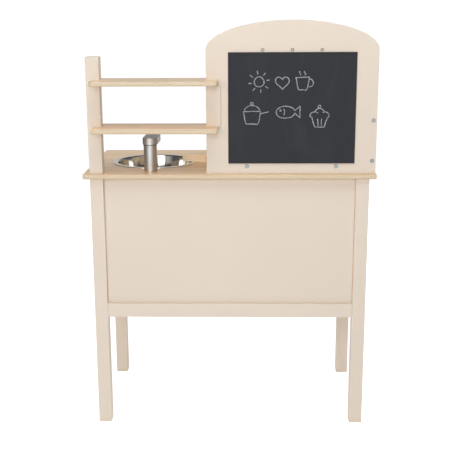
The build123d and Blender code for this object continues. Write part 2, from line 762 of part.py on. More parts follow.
def make_tap():
    """A round column, a pin in its top, and a head that swivels on the pin.

    The head is sketched in a plane of its own, because it stands turned a little on its pin.
    """
    column_top = WORKTOP_Z + TAP_H
    pin_low = column_top - TAP_PIN_DOWN
    across = Vector(1, 0, 0).rotate(Axis.Z, TAP_TURN)
    foot = Plane(origin=(TAP_X, TAP_Y, WORKTOP_Z))
    head_plane = Plane(origin=(TAP_X, TAP_Y, column_top + JOINT_LINE), x_dir=across)
    with BuildPart() as column:
        with BuildSketch(foot):
            Circle(TAP_R)
        extrude(amount=TAP_H)
        fillet(column.edges().filter_by(GeomType.CIRCLE), TAP_EASE)
        with BuildSketch(foot.offset(pin_low - WORKTOP_Z)):
            Circle(TAP_PIN_R + FIXED)
        extrude(amount=TAP_PIN_DOWN, mode=Mode.SUBTRACT)
    save(column, "tap_column")
    with BuildPart() as pin:
        with BuildSketch(foot.offset(pin_low - WORKTOP_Z)):
            Circle(TAP_PIN_R)
        extrude(amount=TAP_PIN_DOWN + JOINT_LINE + TAP_PIN_UP)
    save(pin, "tap_pin")
    with BuildPart() as head:
        with BuildSketch(head_plane):
            Circle(TAP_HEAD_R)
            with Locations((0, -TAP_REACH / 2)):
                Rectangle(2 * TAP_HEAD_R, TAP_REACH)
        extrude(amount=TAP_HEAD_H)
        fillet(head.edges().filter_by(Axis.Z), 1.0)
        fillet(head.edges().group_by(Axis.Z)[0] + head.edges().group_by(Axis.Z)[-1], TAP_EASE)
        with BuildSketch(head_plane):
            Circle(TAP_PIN_R + RUNNING)
            with Locations((0, TAP_OUTLET_R + 6.0 - TAP_REACH)):
                Circle(TAP_OUTLET_R)
        extrude(amount=TAP_PIN_UP + 1.0, mode=Mode.SUBTRACT)
    save(head, "tap_head")


def make_splash_rail():
    """A low pine rail across the worktop. Its end is rebated to lie over the sink's rim."""
    with BuildPart() as rail:
        block(SPLASH_RAIL_X, SPLASH_RAIL_Y, (WORKTOP_Z, WORKTOP_Z + SPLASH_RAIL_H))
        fillet(rail.edges(), 1.0)
        with BuildSketch(Plane.XY.offset(WORKTOP_Z)):
            with Locations((SINK_X, SINK_Y)):
                Circle(SINK_R + RIM_GAP)
        extrude(amount=STEEL + RIM_GAP, mode=Mode.SUBTRACT)
    save(rail, "splash_rail")


def make_hob_plate(side, x):
    """A black hob disc with turned grooves, inside a steel ring."""
    plane = Plane(origin=(x, HOB_Y, WORKTOP_Z), x_dir=(1, 0, 0), z_dir=(0, 0, 1))
    with BuildPart() as plate:
        with BuildSketch(plane):
            Circle(HOB_R)
        extrude(amount=HOB_H)
        fillet(plate.edges().filter_by(GeomType.CIRCLE).group_by(Axis.Z)[-1], 1.0)
        with BuildSketch(plane.offset(HOB_H)):
            for groove_r in HOB_GROOVES:
                Circle(groove_r + 1.0)
                Circle(groove_r - 1.0, mode=Mode.SUBTRACT)
        extrude(amount=-1.0, mode=Mode.SUBTRACT)
    save(plate, f"hob_plate_{side}")
    with BuildPart() as ring:
        with BuildSketch(plane):
            Circle(HOB_R + HOB_RING[0])
            Circle(HOB_R + 0.3, mode=Mode.SUBTRACT)
        extrude(amount=HOB_RING[1])
        fillet(ring.edges().filter_by(GeomType.CIRCLE).group_by(Axis.Z)[-1], 1.0)
    save(ring, f"hob_ring_{side}")


def make_wet_and_hot():
    make_sink_bowl()
    make_sink_drain()
    make_tap()
    make_splash_rail()
    for side, x in zip(("left", "right"), HOB_X):
        make_hob_plate(side, x)


os.makedirs("parts", exist_ok=True)
make_frame()
make_doors()
make_knobs()
make_chalkboard_side()
make_shelves()
make_wet_and_hot()
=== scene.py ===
import json
import math

import bmesh
import bpy
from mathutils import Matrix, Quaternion, Vector, noise

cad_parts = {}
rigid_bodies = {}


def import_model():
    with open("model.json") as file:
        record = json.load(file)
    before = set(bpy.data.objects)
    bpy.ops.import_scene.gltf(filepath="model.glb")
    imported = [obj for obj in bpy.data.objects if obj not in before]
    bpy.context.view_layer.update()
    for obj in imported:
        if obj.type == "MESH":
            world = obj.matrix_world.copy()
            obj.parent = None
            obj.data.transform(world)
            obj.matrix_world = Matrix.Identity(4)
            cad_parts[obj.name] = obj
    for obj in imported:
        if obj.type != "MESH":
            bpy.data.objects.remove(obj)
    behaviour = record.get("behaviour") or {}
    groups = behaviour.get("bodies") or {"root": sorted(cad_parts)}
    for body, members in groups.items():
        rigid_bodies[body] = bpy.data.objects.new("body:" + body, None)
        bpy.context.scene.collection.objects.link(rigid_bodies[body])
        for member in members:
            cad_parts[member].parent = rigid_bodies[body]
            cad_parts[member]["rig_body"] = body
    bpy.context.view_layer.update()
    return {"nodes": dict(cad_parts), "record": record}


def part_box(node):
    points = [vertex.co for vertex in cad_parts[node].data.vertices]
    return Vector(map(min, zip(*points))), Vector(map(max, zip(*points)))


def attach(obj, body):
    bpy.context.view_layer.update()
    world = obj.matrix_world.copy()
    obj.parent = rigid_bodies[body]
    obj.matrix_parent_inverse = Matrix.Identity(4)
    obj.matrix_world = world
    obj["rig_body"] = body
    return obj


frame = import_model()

# Looks for the toy kitchen, in metres, in the row frame: +Z up, the child at -Y, the chalkboard at +Y.

MM = 0.001
X, Y, Z = 0, 1, 2
SLOT_OF = {part["node"]: part["material_slot"] for part in frame["record"]["subparts"]}
BODY_OF = {name: node["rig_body"] for name, node in frame["nodes"].items()}

# ---- colours, as screen values from 0 to 255

CREAM = (226, 213, 198)
CREAM_WORN = (232, 219, 196)
CREAM_DULL = (214, 199, 182)
RAW_EDGE = (196, 150, 104)
VENEER_LIGHT = (244, 208, 162)
VENEER_DARK = (230, 190, 140)
PLY_LONG = (230, 215, 189)
PLY_END = (200, 177, 143)
PLY_GLUE = (168, 132, 92)
PINE_EARLY = (252, 233, 200)
PINE_LATE = (238, 205, 156)
PINE_RESIN = (222, 168, 106)
PINE_KNOT = (150, 96, 54)
SLATE = (45, 46, 51)
SLATE_DUSTY = (62, 63, 68)
CHALK = (186, 186, 191)
CHALK_THIN = (118, 120, 126)
BARE_BOARD = (122, 98, 76)
MARK = (70, 66, 62)
# Painted shade: the dark grey for shade in the tap's seam and on the flanks of the screw heads.
PAINTED_SHADE = (86, 80, 75)


def linear(colour):
    """A screen colour as the linear RGBA that shader sockets take."""
    levels = [level / 255 for level in colour]
    bent = [v / 12.92 if v <= 0.04045 else ((v + 0.055) / 1.055) ** 2.4 for v in levels]
    return (*bent, 1.0)


def longest_axis(node):
    low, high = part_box(node)
    size = high - low
    return max((X, Y, Z), key=lambda axis: size[axis])


def thinnest_axis(node):
    low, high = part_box(node)
    size = high - low
    return min((X, Y, Z), key=lambda axis: size[axis])


# ---- a short way to write node trees


class Finish:
    """One procedural material. place and facing are a point's position and normal in its body's frame."""

    def __init__(self, name, roughness=0.5, metallic=0.0, **others):
        self.material = bpy.data.materials.new(name)
        self.material.use_nodes = True
        self.tree = self.material.node_tree
        self.shader = self.tree.nodes["Principled BSDF"]
        self.shader.inputs["Roughness"].default_value = roughness
        self.shader.inputs["Metallic"].default_value = metallic
        for socket, value in others.items():
            self.shader.inputs[socket.replace("_", " ")].default_value = value
        coordinates = self.add("TexCoord")
        self.place = coordinates.outputs["Object"]
        self.facing = coordinates.outputs["Normal"]
        self.xyz = self.add("SeparateXYZ", {0: self.place}).outputs

    def add(self, kind, wires=None, **settings):
        made = self.tree.nodes.new("ShaderNode" + kind)
        for name, value in settings.items():
            setattr(made, name, value)
        for socket, value in (wires or {}).items():
            self.wire(made.inputs[socket], value)
        return made

    def wire(self, socket, value):
        if isinstance(value, bpy.types.NodeSocket):
            self.tree.links.new(value, socket)
        else:
            socket.default_value = value

    def maths(self, operation, a, b=0.0):
        return self.add("Math", {0: a, 1: b}, operation=operation).outputs[0]

    def step(self, value, low, high):
        """0 below low and 1 above high, smooth in between. low may be the larger one."""
        wires = {"Value": value, "From Min": low, "From Max": high}
        return self.add("MapRange", wires, interpolation_type="SMOOTHSTEP").outputs[0]

    def scaled(self, value, new_low, new_high):
        """A 0 to 1 value as one from new_low to new_high."""
        return self.add("MapRange", {"Value": value, "To Min": new_low, "To Max": new_high}).outputs[0]

    def noise(self, per_metre, detail=2.0, rough=0.5, place=None, distortion=0.0):
        """Noise whose grain count per metre is given for X, Y and Z, or as one number for all three."""
        if isinstance(per_metre, (int, float)):
            per_metre = (per_metre,) * 3
        scaled = self.add("VectorMath", {0: place or self.place, 1: per_metre}, operation="MULTIPLY")
        wires = {"Vector": scaled.outputs[0], "Scale": 1.0, "Detail": detail, "Roughness": rough}
        wires["Distortion"] = distortion
        return self.add("TexNoise", wires).outputs[0]

    def mix(self, amount, a, b, blend="MIX"):
        a, b = (linear(colour) if isinstance(colour, tuple) else colour for colour in (a, b))
        made = self.add("Mix", {0: amount, 6: a, 7: b}, data_type="RGBA", blend_type=blend)
        return made.outputs[2]

    def tinted(self, colour, value, low, high):
        """A colour made darker or lighter: times low where value is 0, times high where it is 1."""
        factor = self.scaled(value, low, high)
        grey = self.add("CombineXYZ", {0: factor, 1: factor, 2: factor}).outputs[0]
        return self.mix(1.0, colour, grey, "MULTIPLY")

    def bump(self, height, depth, under=None):
        wires = {"Height": height, "Distance": depth, "Strength": 1.0}
        if under is not None:
            wires["Normal"] = under
        return self.add("Bump", wires).outputs[0]

    def edges(self, radius):
        """1 on the arris of a piece, falling to 0 within about radius of it."""
        rounded = self.add("Bevel", {"Radius": radius}, samples=4).outputs[0]
        flat = self.add("NewGeometry").outputs["Normal"]
        likeness = self.add("VectorMath", {0: rounded, 1: flat}, operation="DOT_PRODUCT").outputs["Value"]
        return self.step(likeness, 0.995, 0.90)

    def show(self, colour=None, roughness=None, normal=None):
        for socket, value in (("Base Color", colour), ("Roughness", roughness), ("Normal", normal)):
            if value is not None:
                self.wire(self.shader.inputs[socket], linear(value) if isinstance(value, tuple) else value)
        return self.material


def along(axis, fine, across):
    """Grain counts per metre for noise drawn out along an axis."""
    return tuple(fine if i == axis else across for i in (X, Y, Z))


# ---- painted wood


def painted_wood(name, axis=None, shaded_edge_x=None):
    """Satin beige paint. Solid pine under it shows a faint long grain, and arrises are rubbed a little. On
    the rear panel a band of painted shade runs along each side edge.
    """
    f = Finish(name, roughness=0.42)
    cloud = f.noise(5.0, 2.0)
    roller = f.noise(1100.0, 2.0, 0.6)
    colour = f.mix(f.scaled(cloud, 0.0, 0.5), CREAM, CREAM_DULL)
    rubbed = f.maths("MULTIPLY", f.edges(2.2 * MM), f.step(f.noise(120.0, 3.0, 0.7), 0.35, 0.75))
    colour = f.mix(f.maths("MULTIPLY", rubbed, 0.75), colour, CREAM_WORN)
    speck = f.step(f.noise(420.0, 1.0), 0.74, 0.80)
    colour = f.mix(f.maths("MULTIPLY", speck, 0.12), colour, RAW_EDGE)
    foot = f.step(f.xyz[Z], 14 * MM, 1 * MM)
    scuff = f.maths("MULTIPLY", foot, f.step(f.noise(260.0, 3.0, 0.7), 0.42, 0.62))
    colour = f.mix(f.maths("MULTIPLY", scuff, 0.35), colour, RAW_EDGE)
    # Painted shade: on the rear panel, a warm brown band within 1.6 mm of each side edge, where the panel
    # meets the legs.
    if shaded_edge_x is not None:
        side = f.step(f.maths("ABSOLUTE", f.xyz[X]), shaded_edge_x - 1.6 * MM, shaded_edge_x - 0.4 * MM)
        colour = f.mix(f.maths("MULTIPLY", side, 0.55), colour, RAW_EDGE)
    normal = f.bump(roller, 0.05 * MM)
    if axis is not None:
        normal = f.bump(f.noise(along(axis, 6.0, 320.0), 3.0, 0.6), 0.10 * MM, normal)
    else:
        normal = f.bump(f.noise(90.0, 2.0), 0.06 * MM, normal)
    roughness = f.scaled(f.noise(60.0, 3.0, 0.6), 0.34, 0.52)
    return f.show(colour, roughness, normal)


# ---- birch plywood

PLY_COUNT = 7


def birch_ply(node):
    """Lacquered birch plywood: veneer grain on the two faces and seven plies on the edges."""
    thin, long = thinnest_axis(node), longest_axis(node)
    low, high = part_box(node)
    f = Finish("birch_ply_" + node, roughness=0.34, Coat_Weight=0.35, Coat_Roughness=0.16)
    warp = f.noise(along(long, 3.0, 12.0), 2.0)
    flow = f.add("VectorMath", {0: f.place, 1: f.scaled(warp, -0.03, 0.03)}, operation="ADD").outputs[0]
    figure = f.noise(along(long, 2.2, 34.0), 4.0, 0.55, place=flow)
    fibre = f.noise(along(long, 26.0, 1300.0), 3.0, 0.65)
    veneer = f.mix(f.step(figure, 0.36, 0.66), VENEER_LIGHT, VENEER_DARK)
    veneer = f.tinted(veneer, fibre, 0.90, 1.09)
    fleck = f.step(f.noise(along(long, 90.0, 1100.0), 1.0), 0.68, 0.78)
    veneer = f.mix(f.maths("MULTIPLY", fleck, 0.25), veneer, PINE_KNOT)
    thickness = high[thin] - low[thin]
    depth = f.maths("DIVIDE", f.maths("SUBTRACT", f.xyz[thin], low[thin]), thickness / PLY_COUNT)
    waver = f.scaled(f.noise(14.0, 2.0), -0.16, 0.16)
    depth = f.maths("ADD", depth, waver)
    odd = f.maths("MODULO", f.maths("FLOOR", depth), 2.0)
    end_grain = f.tinted(PLY_END, f.noise(1700.0, 2.0, 0.8), 0.84, 1.12)
    long_grain = f.tinted(PLY_LONG, fibre, 0.92, 1.06)
    plies = f.mix(odd, long_grain, end_grain)
    in_ply = f.maths("ABSOLUTE", f.maths("SUBTRACT", f.maths("FRACT", depth), 0.5))
    glue = f.maths("MULTIPLY", f.step(in_ply, 0.40, 0.49), 0.45)
    plies = f.mix(glue, plies, PLY_GLUE)
    # The lowest ply is darkened to glue brown: partly the board's own colour there, partly painted shade on
    # the underside arris.
    plies = f.mix(f.maths("MULTIPLY", f.step(depth, 0.95, 0.70), 0.7), plies, PLY_GLUE)
    facing = f.add("SeparateXYZ", {0: f.facing}).outputs[thin]
    on_face = f.step(f.maths("ABSOLUTE", facing), 0.55, 0.90)
    colour = f.mix(on_face, plies, veneer)
    rubbed = f.maths("MULTIPLY", f.edges(1.6 * MM), 0.30)
    colour = f.mix(rubbed, colour, PLY_LONG)
    grain = f.bump(fibre, 0.05 * MM)
    normal = f.bump(f.maths("MULTIPLY", glue, -1.0), 0.06 * MM, grain)
    roughness = f.scaled(f.noise(along(long, 20.0, 160.0), 3.0, 0.6), 0.28, 0.46)
    return f.show(colour, roughness, normal)


# ---- pine

PITH = (31 * MM, -47 * MM)
RING_GAP = 3.2 * MM
KNOT_REACH, KNOT_PUSH = 28 * MM, 9 * MM


def pine(name, axis, pith=PITH, knot=None):
    """Clear-lacquered pine, sawn from a stem whose rings run round a pith line parallel to the axis."""
    f = Finish(name, roughness=0.40, Coat_Weight=0.15, Coat_Roughness=0.30)
    first, second = [i for i in (X, Y, Z) if i != axis]
    sway = f.scaled(f.noise(along(axis, 5.0, 9.0), 3.0, 0.5), -6.0 * MM, 6.0 * MM)
    a = f.maths("ADD", f.maths("SUBTRACT", f.xyz[first], pith[0]), sway)
    b = f.maths("SUBTRACT", f.xyz[second], pith[1])
    radius = f.maths("SQRT", f.maths("ADD", f.maths("MULTIPLY", a, a), f.maths("MULTIPLY", b, b)))
    if knot is not None:
        away = f.add("VectorMath", {0: f.place, 1: knot}, operation="DISTANCE").outputs["Value"]
        ragged = f.maths("ADD", away, f.scaled(f.noise(300.0, 2.0), -1.0 * MM, 1.0 * MM))
        radius = f.maths("ADD", radius, f.maths("MULTIPLY", f.step(away, KNOT_REACH, 0.0), KNOT_PUSH))
    rings = f.maths("FRACT", f.maths("DIVIDE", radius, RING_GAP))
    late = f.maths("MULTIPLY", f.step(rings, 0.25, 0.92), f.step(rings, 1.0, 0.93))
    colour = f.mix(f.maths("MULTIPLY", late, 0.75), PINE_EARLY, PINE_LATE)
    fibre = f.noise(along(axis, 22.0, 1500.0), 3.0, 0.65)
    colour = f.tinted(colour, fibre, 0.88, 1.08)
    colour = f.tinted(colour, f.noise(along(axis, 4.0, 30.0), 2.0), 0.95, 1.05)
    if knot is not None:
        colour = f.mix(f.maths("MULTIPLY", f.step(ragged, 9 * MM, 2 * MM), 0.6), colour, PINE_RESIN)
        colour = f.mix(f.maths("MULTIPLY", f.step(ragged, 3 * MM, 1 * MM), 0.7), colour, PINE_KNOT)
    normal = f.bump(fibre, 0.05 * MM)
    normal = f.bump(late, 0.04 * MM, normal)
    roughness = f.scaled(f.noise(along(axis, 30.0, 200.0), 2.0), 0.34, 0.52)
    return f.show(colour, roughness, normal)


# ---- chalkboard and chalk


def chalkboard():
    """Matt slate paint with wiped chalk dust, and bare brown board on the sheet's cut edges."""
    f = Finish("chalkboard_paint", roughness=0.8, Specular_IOR_Level=0.25)
    wiped = f.noise((26.0, 26.0, 9.0), 4.0, 0.62, distortion=0.8)
    dust = f.step(wiped, 0.44, 0.78)
    colour = f.mix(f.maths("MULTIPLY", dust, 0.55), SLATE, SLATE_DUSTY)
    grit = f.noise(1500.0, 2.0, 0.7)
    colour = f.tinted(colour, grit, 0.90, 1.10)
    scratch = f.step(f.noise((60.0, 60.0, 1400.0), 2.0, 0.6, distortion=0.4), 0.70, 0.74)
    colour = f.mix(f.maths("MULTIPLY", scratch, 0.10), colour, CHALK)
    facing = f.maths("ABSOLUTE", f.add("SeparateXYZ", {0: f.facing}).outputs[Y])
    colour = f.mix(f.step(facing, 0.60, 0.30), colour, BARE_BOARD)
    normal = f.bump(grit, 0.05 * MM)
    roughness = f.scaled(dust, 0.66, 0.88)
    return f.show(colour, roughness, normal)


def chalk_line():
    """Chalk dragged over slate: it skips where the board is low."""
    f = Finish("chalk_line", roughness=0.95)
    skips = f.step(f.noise(900.0, 3.0, 0.7), 0.56, 0.40)
    colour = f.mix(f.scaled(skips, 0.15, 1.0), CHALK_THIN, CHALK)
    return f.show(colour, None, f.bump(f.noise(1400.0, 2.0), 0.10 * MM))


# ---- metals


def metal(name, colour, roughness, streaks=400.0, speckle=0.0, seam=None):
    """Bare metal with fine drawn or cast texture, and painted shade in a narrow band at the height of a
    seam.

    roughness is a low and a high value."""
    f = Finish(name, metallic=1.0)
    tone = f.noise(streaks, 3.0, 0.6)
    painted = f.tinted(colour, tone, 0.93, 1.05)
    if speckle:
        painted = f.tinted(painted, f.noise(2300.0, 1.0), 1.0 - speckle, 1.0 + speckle)
    if seam is not None:
        # Painted shade: a dark band within about a millimetre of the seam, where the head meets the column.
        away = f.maths("ABSOLUTE", f.maths("SUBTRACT", f.xyz[Z], seam))
        painted = f.mix(f.maths("MULTIPLY", f.step(away, 1.3 * MM, 0.6 * MM), 0.6), painted, PAINTED_SHADE)
    normal = f.bump(f.noise(1600.0, 2.0, 0.7), 0.015 * MM)
    return f.show(painted, f.scaled(tone, *roughness), normal)


def spun_steel(name, centre, colour, roughness):
    """Steel polished on a lathe: faint rings round a vertical axis."""
    f = Finish(name, metallic=1.0)
    a = f.maths("SUBTRACT", f.xyz[X], centre[0])
    b = f.maths("SUBTRACT", f.xyz[Y], centre[1])
    radius = f.maths("SQRT", f.maths("ADD", f.maths("MULTIPLY", a, a), f.maths("MULTIPLY", b, b)))
    place = f.add("CombineXYZ", {0: radius, 1: f.xyz[Z]}).outputs[0]
    rings = f.noise((1400.0, 1400.0, 0.0), 3.0, 0.7, place=place)
    smear = f.noise(22.0, 3.0, 0.6)
    painted = f.tinted(colour, rings, 0.96, 1.03)
    return f.show(painted, f.scaled(smear, *roughness), f.bump(rings, 0.004 * MM))


def arch_screw_zinc():
    """Zinc plate, bluish, with painted shade round the head's flank, and brown-grey on the three highest
    screws.
    """
    f = Finish("zinc_plate", metallic=1.0)
    blotch = f.noise(500.0, 3.0, 0.6)
    colour = f.mix(blotch, (146, 160, 168), (200, 210, 216))
    high_up = f.step(f.xyz[Z], 0.70, 0.72)
    colour = f.mix(f.maths("MULTIPLY", high_up, 0.75), colour, (176, 158, 138))
    # Painted shade: the head grows dark where its face turns away from +Y.
    flank_shade = f.step(f.add("SeparateXYZ", {0: f.facing}).outputs[Y], 0.97, 0.70)
    colour = f.mix(f.maths("MULTIPLY", flank_shade, 0.85), colour, PAINTED_SHADE)
    return f.show(colour, f.scaled(blotch, 0.30, 0.48), f.bump(f.noise(1800.0, 2.0), 0.01 * MM))


def hob_black():
    """Black stove enamel, slightly worn to grey on the turned lands."""
    f = Finish("hob_black", roughness=0.35)
    fleck = f.noise(1300.0, 3.0, 0.7)
    worn = f.maths("MULTIPLY", f.edges(1.2 * MM), f.step(f.noise(160.0, 3.0), 0.40, 0.62))
    colour = f.mix(fleck, (30, 30, 31), (46, 45, 45))
    colour = f.mix(f.maths("MULTIPLY", worn, 0.5), colour, (120, 118, 116))
    return f.show(colour, f.scaled(f.noise(40.0, 3.0), 0.28, 0.46), f.bump(fleck, 0.03 * MM))


def clear_acrylic():
    """A clear pane, with faint wipe marks in its gloss."""
    f = Finish("clear_acrylic", IOR=1.49, Transmission_Weight=1.0)
    marks = f.noise((18.0, 18.0, 60.0), 4.0, 0.6)
    return f.show((240, 244, 244), f.scaled(f.step(marks, 0.5, 0.8), 0.02, 0.14))


def catch_plastic():
    """White moulded plastic with a fine spark texture."""
    f = Finish("catch_plastic", roughness=0.5)
    spark = f.noise(1800.0, 2.0)
    return f.show(f.tinted((226, 222, 212), f.noise(60.0), 0.96, 1.02), None, f.bump(spark, 0.03 * MM))


def dial_paint():
    """Dark grey printing ink, a little uneven."""
    f = Finish("dial_paint", roughness=0.6)
    return f.show(f.tinted(MARK, f.noise(900.0, 3.0), 0.85, 1.25), None, f.bump(f.noise(1500.0), 0.02 * MM))


# ---- finishes on the CAD nodes

SINK_CENTRE = (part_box("sink_bowl")[0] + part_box("sink_bowl")[1]) / 2
TAP_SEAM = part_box("tap_column")[1].z
RAIL_LOW, RAIL_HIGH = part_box("splash_rail")
RAIL_PITH = (RAIL_HIGH.y + 10 * MM, RAIL_LOW.z - 50 * MM)
RAIL_KNOT = (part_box("arch_board")[1].x + 3 * MM, RAIL_HIGH.y, RAIL_LOW.z + 9 * MM)
SOLID_PINE_PAINTED = ("leg", "rail", "post", "stile", "fascia")
CROSS_GRAIN = {"utensil_pegs": Y, "oven_cleats": Y, "shelf_cleats": Y}


def finish_for(node, made):
    """The material of a CAD node. Materials that several nodes share are made once."""
    slot = SLOT_OF[node]
    if slot == "painted_wood":
        if node == "rear_panel":
            return painted_wood("painted_rear_panel", None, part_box(node)[1].x)
        solid = any(word in node for word in SOLID_PINE_PAINTED)
        axis = longest_axis(node) if solid else None
        name = "painted_wood" + ("" if axis is None else "_" + "xyz"[axis])
        return made.get(name) or made.setdefault(name, painted_wood(name, axis))
    if slot == "birch_ply":
        return birch_ply(node)
    if slot == "pine":
        if node == "splash_rail":
            return pine("pine_splash_rail", X, RAIL_PITH, RAIL_KNOT)
        axis = CROSS_GRAIN.get(node, longest_axis(node))
        name = "pine_" + "xyz"[axis]
        return made.get(name) or made.setdefault(name, pine(name, axis))
    return made[slot]


def finish_nodes():
    made = {
        "chalkboard_paint": chalkboard(),
        "clear_acrylic": clear_acrylic(),
        "polished_steel": spun_steel("polished_steel", SINK_CENTRE, (214, 211, 206), (0.06, 0.16)),
        "satin_silver": metal("satin_silver", (212, 209, 205), (0.34, 0.46), 300.0, 0.10, TAP_SEAM),
        "plain_steel": metal("plain_steel", (188, 188, 190), (0.25, 0.40)),
        "zinc_plate": arch_screw_zinc(),
        "wire_chrome": metal("wire_chrome", (208, 210, 214), (0.12, 0.22)),
        "hob_black": hob_black(),
        "brushed_ring": metal("brushed_ring", (196, 196, 198), (0.24, 0.38), (900.0, 900.0, 40.0)),
        "catch_plastic": catch_plastic(),
    }
    for node, thing in frame["nodes"].items():
        thing.data.materials.clear()
        thing.data.materials.append(finish_for(node, made))


# ---- chalk drawings


def bow(x, y, across, up, start, end, count=22):
    """Points along part of an ellipse, angles in degrees."""
    angles = [math.radians(start + (end - start) * i / count) for i in range(count + 1)]
    return [(x + across * math.cos(a), y + up * math.sin(a)) for a in angles]


def heart():
    """The outline of a heart, drawn in one stroke."""
    points = []
    for i in range(41):
        a = math.tau * i / 40
        up = 13 * math.cos(a) - 5 * math.cos(2 * a) - 2 * math.cos(3 * a) - math.cos(4 * a)
        points.append((0.5 + 0.027 * 16 * math.sin(a) ** 3, 0.53 + 0.027 * up))
    return points


def ray(turn):
    a = math.radians(turn)
    return [(0.5 + r * math.cos(a), 0.5 + r * math.sin(a)) for r in (0.34, 0.50)]


def steam(x):
    return [(x + 0.035 * math.sin(i * 0.9), 0.80 + 0.03 * i) for i in range(8)]


# A doodle is a list of strokes, in a square from 0 to 1, x to the reader's right and y up.
DOODLES = {
    "sun": [bow(0.5, 0.5, 0.23, 0.23, 20, 375)] + [ray(turn) for turn in range(10, 370, 45)],
    "heart": [heart()],
    "cup": [
        [(0.08, 0.70), (0.13, 0.34), (0.20, 0.08), (0.60, 0.06), (0.68, 0.32), (0.74, 0.71), (0.07, 0.69)],
        bow(0.72, 0.42, 0.22, 0.20, 75, -95),
        steam(0.28),
        steam(0.52),
    ],
    "pan": [
        [(0.02, 0.56), (0.05, 0.24), (0.12, 0.08), (0.56, 0.07), (0.63, 0.25), (0.66, 0.57), (0.01, 0.55)],
        [(0.66, 0.46), (0.98, 0.56)],
        bow(0.34, 0.58, 0.29, 0.22, 175, 8),
        bow(0.34, 0.85, 0.05, 0.05, 0, 350, 10),
    ],
    "fish": [
        bow(0.42, 0.44, 0.38, 0.24, 12, 348),
        [(0.79, 0.49), (1.00, 0.68), (0.98, 0.44), (1.01, 0.20), (0.79, 0.40)],
        bow(0.22, 0.50, 0.03, 0.03, 0, 340, 8),
        bow(0.28, 0.44, 0.10, 0.15, -50, 50, 10),
    ],
    "cupcake": [
        [(0.16, 0.46), (0.22, 0.24), (0.28, 0.02), (0.72, 0.01), (0.78, 0.22), (0.85, 0.45)],
        [(0.42, 0.38), (0.44, 0.08)],
        [(0.60, 0.37), (0.58, 0.08)],
        bow(0.28, 0.54, 0.18, 0.15, 215, 30, 12),
        bow(0.50, 0.66, 0.20, 0.17, 175, 0, 12),
        bow(0.74, 0.53, 0.17, 0.15, 130, -50, 12),
        bow(0.50, 0.90, 0.06, 0.06, 0, 345, 10),
    ],
}

# A hand's unsteadiness: how fast it changes along the board, and how far it moves a line.
SHAKE_PER_METRE = 90
SHAKE = 1.1 * MM
# Half the width of a line and its swing in mm, how fast the width changes, and the crest's height.
LINE_HALF, LINE_SWING = 0.85, 0.40
WIDTH_PER_METRE = 260
CREST = Vector((0, 0.22 * MM, 0))

# Where each doodle goes: its left and lower corner from the board's upper left corner, and its size, in mm.
DOODLE_PLACES = [
    ("sun", 40, 80, 44),
    ("heart", 92, 76, 32),
    ("cup", 132, 77, 40),
    ("pan", 30, 146, 52),
    ("fish", 94, 140, 50),
    ("cupcake", 160, 149, 46),
]


def chalk_doodle(name, left, down, size, material):
    """A doodle as low ridges of chalk on the board, with a hand's unsteadiness in line and width."""
    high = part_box("chalkboard")[1]
    corner = Vector((high.x - left * MM, high.y, high.z - down * MM))
    shape = bmesh.new()
    for number, stroke in enumerate(DOODLES[name]):
        points = [corner + Vector((-x * size * MM, 0, y * size * MM)) for x, y in densely(stroke)]
        ridge(shape, [wavered(point, number) for point in points])
    return piece_from("chalk_" + name, shape, material, "kitchen")


def densely(stroke, gap=0.05):
    """The stroke's points, with more between those that are far apart."""
    points = [stroke[0]]
    for (x0, y0), (x1, y1) in zip(stroke, stroke[1:]):
        steps = max(1, round(math.dist((x0, y0), (x1, y1)) / gap))
        points += [(x0 + (x1 - x0) * i / steps, y0 + (y1 - y0) * i / steps) for i in range(1, steps + 1)]
    return points


def wavered(point, number):
    """The point, moved a little as by an unsteady hand. The number tells a doodle's strokes apart."""
    place = point * SHAKE_PER_METRE + Vector((number * 7.3, 0, 0))
    shake = Vector((noise.noise(place), 0, noise.noise(place + Vector((31.7, 11.3, 5.9)))))
    return point + shake * SHAKE


def ridge(shape, line):
    """A closed strip along the line, its crest a little proud of the board."""
    rings = []
    for i, point in enumerate(line):
        ahead = (line[min(i + 1, len(line) - 1)] - line[max(i - 1, 0)]).normalized()
        side = ahead.cross(Vector((0, 1, 0)))
        half = (LINE_HALF + LINE_SWING * noise.noise(point * WIDTH_PER_METRE)) * MM
        offsets = (-side * half, -side * half * 0.5 + CREST, side * half * 0.5 + CREST, side * half)
        rings.append([shape.verts.new(point + offset) for offset in offsets])
    for near, far in zip(rings, rings[1:]):
        for i in range(4):
            j = (i + 1) % 4
            shape.faces.new((near[i], near[j], far[j], far[i]))
    shape.faces.new(rings[0][::-1])
    shape.faces.new(rings[-1])


def piece_from(name, shape, material, body):
    """The bmesh as a new piece that rides on a body."""
    bmesh.ops.recalc_face_normals(shape, faces=shape.faces)
    mesh = bpy.data.meshes.new(name)
    shape.to_mesh(mesh)
    shape.free()
    mesh.materials.append(material)
    thing = bpy.data.objects.new(name, mesh)
    bpy.context.scene.collection.objects.link(thing)
    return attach(thing, body)


def draw_doodles():
    material = chalk_line()
    for name, left, down, size in DOODLE_PLACES:
        chalk_doodle(name, left, down, size, material)


# ---- dial marks and knob pointers

POINTER = (10.8 * MM, 2.0 * MM, 0.8 * MM)
POINTER_UP = 6.0 * MM
POINTER_SUNK = 1.25 * MM
DOT_RING = 21.5 * MM
DOT, TOP_DOT = 0.9 * MM, 1.5 * MM
DOT_SUNK, DOT_THICK = 0.05 * MM, 0.17 * MM


def turned_plate(shape, centre, out, across, points, thickness):
    """A flat plate with the outline of points, raised by thickness along out. across is its x direction."""
    up = out.cross(across)
    floor = [shape.verts.new(centre + across * x + up * y) for x, y in points]
    top = [shape.verts.new(v.co + out * thickness) for v in floor]
    shape.faces.new(floor[::-1])
    shape.faces.new(top)
    for i in range(len(floor)):
        j = (i + 1) % len(floor)
        shape.faces.new((floor[i], floor[j], top[j], top[i]))


